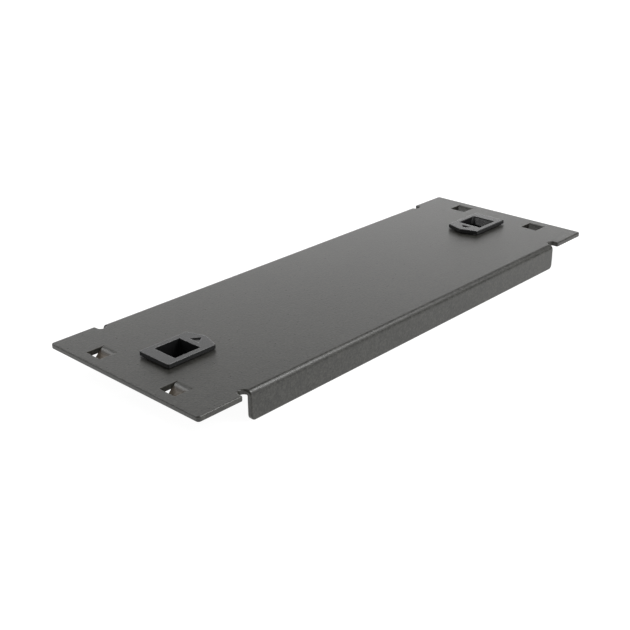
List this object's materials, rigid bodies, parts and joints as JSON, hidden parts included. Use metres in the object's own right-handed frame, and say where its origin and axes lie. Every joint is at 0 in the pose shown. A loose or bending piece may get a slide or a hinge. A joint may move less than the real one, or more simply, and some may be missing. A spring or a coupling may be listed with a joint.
{
  "type": "rack blanking panel",
  "caption": "Folded steel blanking panel for a half-width (10-inch) rack, with flanged long edges, lanced locating tabs and sliding thumb latches at its ends.",
  "frame": {"origin": "centre of the footprint, on the plane of the lower edges of the two flanges that the part rests on", "axes": "+X along the 254 mm length, from the left latch to the right latch; +Y across the height that the panel has in a rack; +Z out of the front face"},
  "size_m": [0.254, 0.0886, 0.0146],
  "materials": {
    "panel_coating": "fine-textured dark grey powder coat, satin",
    "latch_plastic": "smooth black moulded plastic, satin"
  },
  "bodies": {
    "panel": {"panel": "panel_coating"},
    "left_latch": {"left_latch": "latch_plastic"},
    "right_latch": {"right_latch": "latch_plastic"}
  },
  "joints": [
    {"name": "left_latch_slide", "type": "slide", "parent": "panel", "child": "left_latch", "axis": [1, 0, 0], "range_m": [-0.00125, 0.00295]},
    {"name": "right_latch_slide", "type": "slide", "parent": "panel", "child": "right_latch", "axis": [-1, 0, 0], "range_m": [0, 0.0042]}
  ]
}
